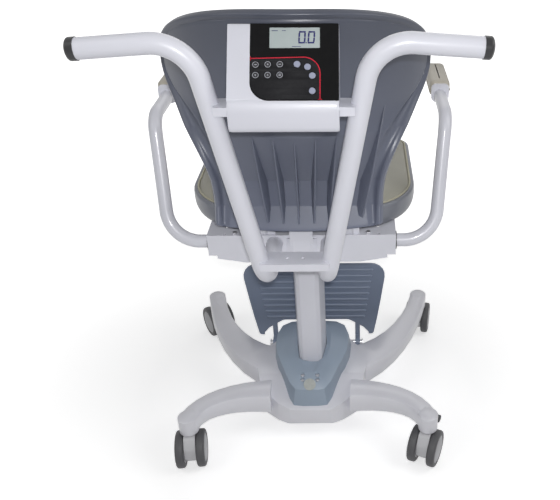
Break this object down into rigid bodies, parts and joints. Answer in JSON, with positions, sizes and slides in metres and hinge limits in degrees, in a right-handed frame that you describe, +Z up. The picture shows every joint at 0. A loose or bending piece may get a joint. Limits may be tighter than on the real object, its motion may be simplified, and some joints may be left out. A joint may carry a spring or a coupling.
{
  "type": "digital chair scale",
  "caption": "Rolling weighing chair with a push handlebar, display unit behind the backrest, fold-back armrests and a folding footrest.",
  "frame": {"origin": "centre of the overall footprint on the floor", "axes": "+Z up, +Y the way the sitter faces, +X to the sitter's right"},
  "size_m": [0.6205, 0.6305, 0.945],
  "materials": {
    "white_paint": "semi-gloss powder coat",
    "slate_plastic": "satin moulded",
    "cover_plastic": "satin moulded",
    "beige_vinyl": "soft grained",
    "black_plastic": "glossy",
    "dark_plastic": "fine grained",
    "housing_paint": "satin",
    "display": "polished",
    "board": "solder mask",
    "key_plastic": "satin",
    "white_casting": "semi-gloss powder coat",
    "steel": "zinc plated",
    "cell_alloy": "machined",
    "caster_grey": "satin moulded",
    "tyre": "matt"
  },
  "bodies": {
    "chair": {"base_frame": "white_casting", "base_cover": "cover_plastic", "bubble_level": "display", "cover_screws": "steel", "column": "white_paint", "column_bolts": "steel", "load_cell": "cell_alloy", "seat_frame": "white_paint", "frame_bolts": "steel", "seat_pan": "slate_plastic", "seat_cushion": "beige_vinyl", "arm_bushes": "dark_plastic", "back_bracket": "white_paint", "backrest_shell": "slate_plastic", "back_pad": "beige_vinyl", "handle_tube_left": "white_paint", "handle_tube_right": "white_paint", "handle_caps": "dark_plastic", "upper_crossbar": "white_paint", "lower_crossbar": "white_paint", "indicator_housing": "housing_paint", "indicator_panel": "black_plastic", "lcd_module": "display", "indicator_board": "board", "battery_pack": "dark_plastic", "indicator_screws": "steel", "footrest_hinge": "white_paint", "footrest_pin": "steel", "caster_stems": "dark_plastic"},
    "left_armrest": {"arm_tube_left": "white_paint", "arm_pad_left": "beige_vinyl"},
    "right_armrest": {"arm_tube_right": "white_paint", "arm_pad_right": "beige_vinyl"},
    "footrest": {"footrest_panel": "slate_plastic"},
    "ring_key_1_cap": {"ring_key_1": "key_plastic"},
    "ring_key_2_cap": {"ring_key_2": "key_plastic"},
    "ring_key_3_cap": {"ring_key_3": "key_plastic"},
    "ring_key_4_cap": {"ring_key_4": "key_plastic"},
    "ring_key_5_cap": {"ring_key_5": "key_plastic"},
    "ring_key_6_cap": {"ring_key_6": "key_plastic"},
    "solid_key_1_cap": {"solid_key_1": "key_plastic"},
    "solid_key_2_cap": {"solid_key_2": "key_plastic"},
    "solid_key_3_cap": {"solid_key_3": "key_plastic"},
    "solid_key_4_cap": {"solid_key_4": "key_plastic"},
    "caster_rear_left": {"caster_housing_rear_left": "caster_grey"},
    "pedal_rear_left": {"caster_pedal_rear_left": "dark_plastic"},
    "roller_rear_left_outer": {"wheel_rear_left_outer": "tyre"},
    "roller_rear_left_inner": {"wheel_rear_left_inner": "tyre"},
    "caster_rear_right": {"caster_housing_rear_right": "caster_grey"},
    "pedal_rear_right": {"caster_pedal_rear_right": "dark_plastic"},
    "roller_rear_right_outer": {"wheel_rear_right_outer": "tyre"},
    "roller_rear_right_inner": {"wheel_rear_right_inner": "tyre"},
    "caster_front_left": {"caster_housing_front_left": "caster_grey"},
    "pedal_front_left": {"caster_pedal_front_left": "dark_plastic"},
    "roller_front_left_outer": {"wheel_front_left_outer": "tyre"},
    "roller_front_left_inner": {"wheel_front_left_inner": "tyre"},
    "caster_front_right": {"caster_housing_front_right": "caster_grey"},
    "pedal_front_right": {"caster_pedal_front_right": "dark_plastic"},
    "roller_front_right_outer": {"wheel_front_right_outer": "tyre"},
    "roller_front_right_inner": {"wheel_front_right_inner": "tyre"}
  },
  "joints": [
    {"name": "left_armrest_fold", "type": "hinge", "parent": "chair", "child": "left_armrest", "pos_m": [-0.18, -0.096, 0.494], "axis": [1, 0, 0], "range_deg": [0, 90]},
    {"name": "right_armrest_fold", "type": "hinge", "parent": "chair", "child": "right_armrest", "pos_m": [0.18, -0.096, 0.494], "axis": [1, 0, 0], "range_deg": [0, 90]},
    {"name": "footrest_fold", "type": "hinge", "parent": "chair", "child": "footrest", "pos_m": [0, 0.148, 0.052], "axis": [-1, 0, 0], "range_deg": [0, 90]},
    {"name": "ring_key_1_press", "type": "slide", "parent": "chair", "child": "ring_key_1_cap", "axis": [0, 0.788, -0.6157], "range_m": [0, 0.0004], "stiffness_N_per_m": 600, "springref_m": -0.0005},
    {"name": "ring_key_2_press", "type": "slide", "parent": "chair", "child": "ring_key_2_cap", "axis": [0, 0.788, -0.6157], "range_m": [0, 0.0004], "stiffness_N_per_m": 600, "springref_m": -0.0005},
    {"name": "ring_key_3_press", "type": "slide", "parent": "chair", "child": "ring_key_3_cap", "axis": [0, 0.788, -0.6157], "range_m": [0, 0.0004], "stiffness_N_per_m": 600, "springref_m": -0.0005},
    {"name": "ring_key_4_press", "type": "slide", "parent": "chair", "child": "ring_key_4_cap", "axis": [0, 0.788, -0.6157], "range_m": [0, 0.0004], "stiffness_N_per_m": 600, "springref_m": -0.0005},
    {"name": "ring_key_5_press", "type": "slide", "parent": "chair", "child": "ring_key_5_cap", "axis": [0, 0.788, -0.6157], "range_m": [0, 0.0004], "stiffness_N_per_m": 600, "springref_m": -0.0005},
    {"name": "ring_key_6_press", "type": "slide", "parent": "chair", "child": "ring_key_6_cap", "axis": [0, 0.788, -0.6157], "range_m": [0, 0.0004], "stiffness_N_per_m": 600, "springref_m": -0.0005},
    {"name": "solid_key_1_press", "type": "slide", "parent": "chair", "child": "solid_key_1_cap", "axis": [0, 0.788, -0.6157], "range_m": [0, 0.0004], "stiffness_N_per_m": 600, "springref_m": -0.0005},
    {"name": "solid_key_2_press", "type": "slide", "parent": "chair", "child": "solid_key_2_cap", "axis": [0, 0.788, -0.6157], "range_m": [0, 0.0004], "stiffness_N_per_m": 600, "springref_m": -0.0005},
    {"name": "solid_key_3_press", "type": "slide", "parent": "chair", "child": "solid_key_3_cap", "axis": [0, 0.788, -0.6157], "range_m": [0, 0.0004], "stiffness_N_per_m": 600, "springref_m": -0.0005},
    {"name": "solid_key_4_press", "type": "slide", "parent": "chair", "child": "solid_key_4_cap", "axis": [0, 0.788, -0.6157], "range_m": [0, 0.0004], "stiffness_N_per_m": 600, "springref_m": -0.0005},
    {"name": "caster_rear_left_swivel", "type": "hinge", "parent": "chair", "child": "caster_rear_left", "pos_m": [-0.253, -0.186, 0.07], "axis": [0, 0, 1], "continuous": true},
    {"name": "pedal_rear_left_press", "type": "hinge", "parent": "caster_rear_left", "child": "pedal_rear_left", "pos_m": [-0.25551, -0.16213, 0.068], "axis": [-0.9945, -0.1045, 0], "range_deg": [0, 12]},
    {"name": "wheel_rear_left_outer_roll", "type": "hinge", "parent": "caster_rear_left", "child": "roller_rear_left_outer", "pos_m": [-0.25185, -0.19694, 0.04], "axis": [0.9945, 0.1045, 0], "continuous": true},
    {"name": "wheel_rear_left_inner_roll", "type": "hinge", "parent": "caster_rear_left", "child": "roller_rear_left_inner", "pos_m": [-0.25185, -0.19694, 0.04], "axis": [0.9945, 0.1045, 0], "continuous": true},
    {"name": "caster_rear_right_swivel", "type": "hinge", "parent": "chair", "child": "caster_rear_right", "pos_m": [0.253, -0.186, 0.07], "axis": [0, 0, 1], "continuous": true},
    {"name": "pedal_rear_right_press", "type": "hinge", "parent": "caster_rear_right", "child": "pedal_rear_right", "pos_m": [0.26238, -0.16391, 0.068], "axis": [-0.9205, 0.3907, 0], "range_deg": [0, 12]},
    {"name": "wheel_rear_right_outer_roll", "type": "hinge", "parent": "caster_rear_right", "child": "roller_rear_right_outer", "pos_m": [0.2487, -0.19613, 0.04], "axis": [0.9205, -0.3907, 0], "continuous": true},
    {"name": "wheel_rear_right_inner_roll", "type": "hinge", "parent": "caster_rear_right", "child": "roller_rear_right_inner", "pos_m": [0.2487, -0.19613, 0.04], "axis": [0.9205, -0.3907, 0], "continuous": true},
    {"name": "caster_front_left_swivel", "type": "hinge", "parent": "chair", "child": "caster_front_left", "pos_m": [-0.263, 0.259, 0.07], "axis": [0, 0, 1], "continuous": true},
    {"name": "pedal_front_left_press", "type": "hinge", "parent": "caster_front_left", "child": "pedal_front_left", "pos_m": [-0.24993, 0.23887, 0.068], "axis": [0.8387, 0.5446, 0], "range_deg": [0, 12]},
    {"name": "wheel_front_left_outer_roll", "type": "hinge", "parent": "caster_front_left", "child": "roller_front_left_outer", "pos_m": [-0.26899, 0.26822, 0.04], "axis": [-0.8387, -0.5446, 0], "continuous": true},
    {"name": "wheel_front_left_inner_roll", "type": "hinge", "parent": "caster_front_left", "child": "roller_front_left_inner", "pos_m": [-0.26899, 0.26822, 0.04], "axis": [-0.8387, -0.5446, 0], "continuous": true},
    {"name": "caster_front_right_swivel", "type": "hinge", "parent": "chair", "child": "caster_front_right", "pos_m": [0.263, 0.259, 0.07], "axis": [0, 0, 1], "continuous": true},
    {"name": "pedal_front_right_press", "type": "hinge", "parent": "caster_front_right", "child": "pedal_front_right", "pos_m": [0.25842, 0.23544, 0.068], "axis": [0.9816, -0.1908, 0], "range_deg": [0, 12]},
    {"name": "wheel_front_right_outer_roll", "type": "hinge", "parent": "caster_front_right", "child": "roller_front_right_outer", "pos_m": [0.2651, 0.2698, 0.04], "axis": [-0.9816, 0.1908, 0], "continuous": true},
    {"name": "wheel_front_right_inner_roll", "type": "hinge", "parent": "caster_front_right", "child": "roller_front_right_inner", "pos_m": [0.2651, 0.2698, 0.04], "axis": [-0.9816, 0.1908, 0], "continuous": true}
  ]
}
